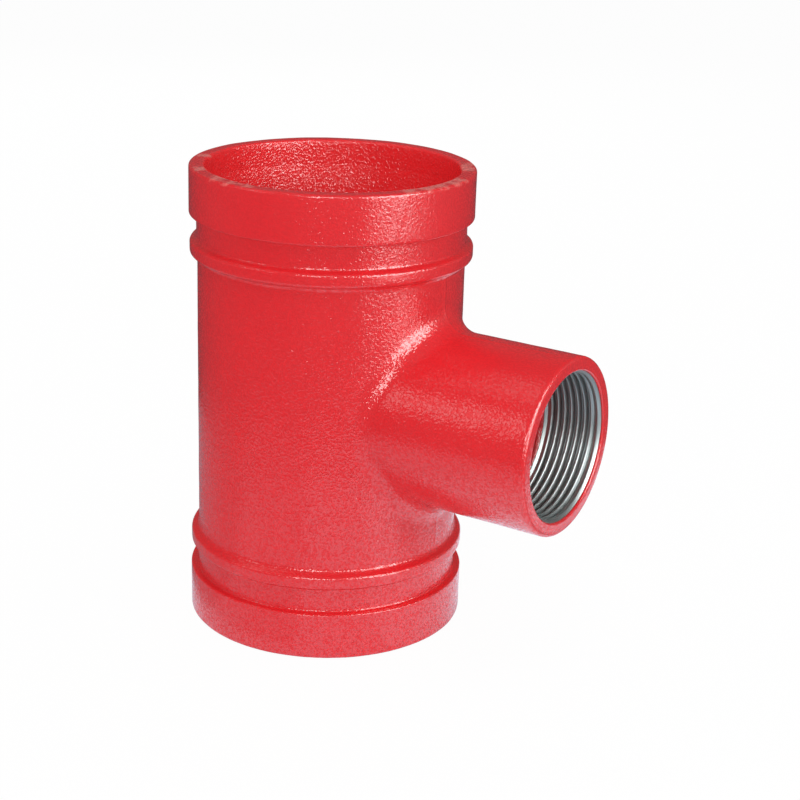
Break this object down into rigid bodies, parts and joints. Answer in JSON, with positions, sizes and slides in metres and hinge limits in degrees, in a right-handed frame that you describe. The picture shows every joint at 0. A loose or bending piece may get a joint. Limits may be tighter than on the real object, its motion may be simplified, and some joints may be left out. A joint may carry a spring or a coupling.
{
  "type": "grooved reducing tee with threaded branch",
  "caption": "Cast pipe tee: straight run with a grooved end top and bottom, smaller side branch with a female pipe thread, painted red.",
  "frame": {"origin": "centre of the lower end face of the run, where the tee stands", "axes": "+Z along the run to its upper end, +X out of the branch, Y across both"},
  "size_m": [0.1309, 0.0888, 0.147],
  "materials": {
    "red_enamel": "gloss red enamel over the grainy skin of an iron casting",
    "machined_iron": "bare turned iron of the branch thread"
  },
  "bodies": {
    "root": {"tee_casting": "red_enamel"}
  },
  "joints": []
}
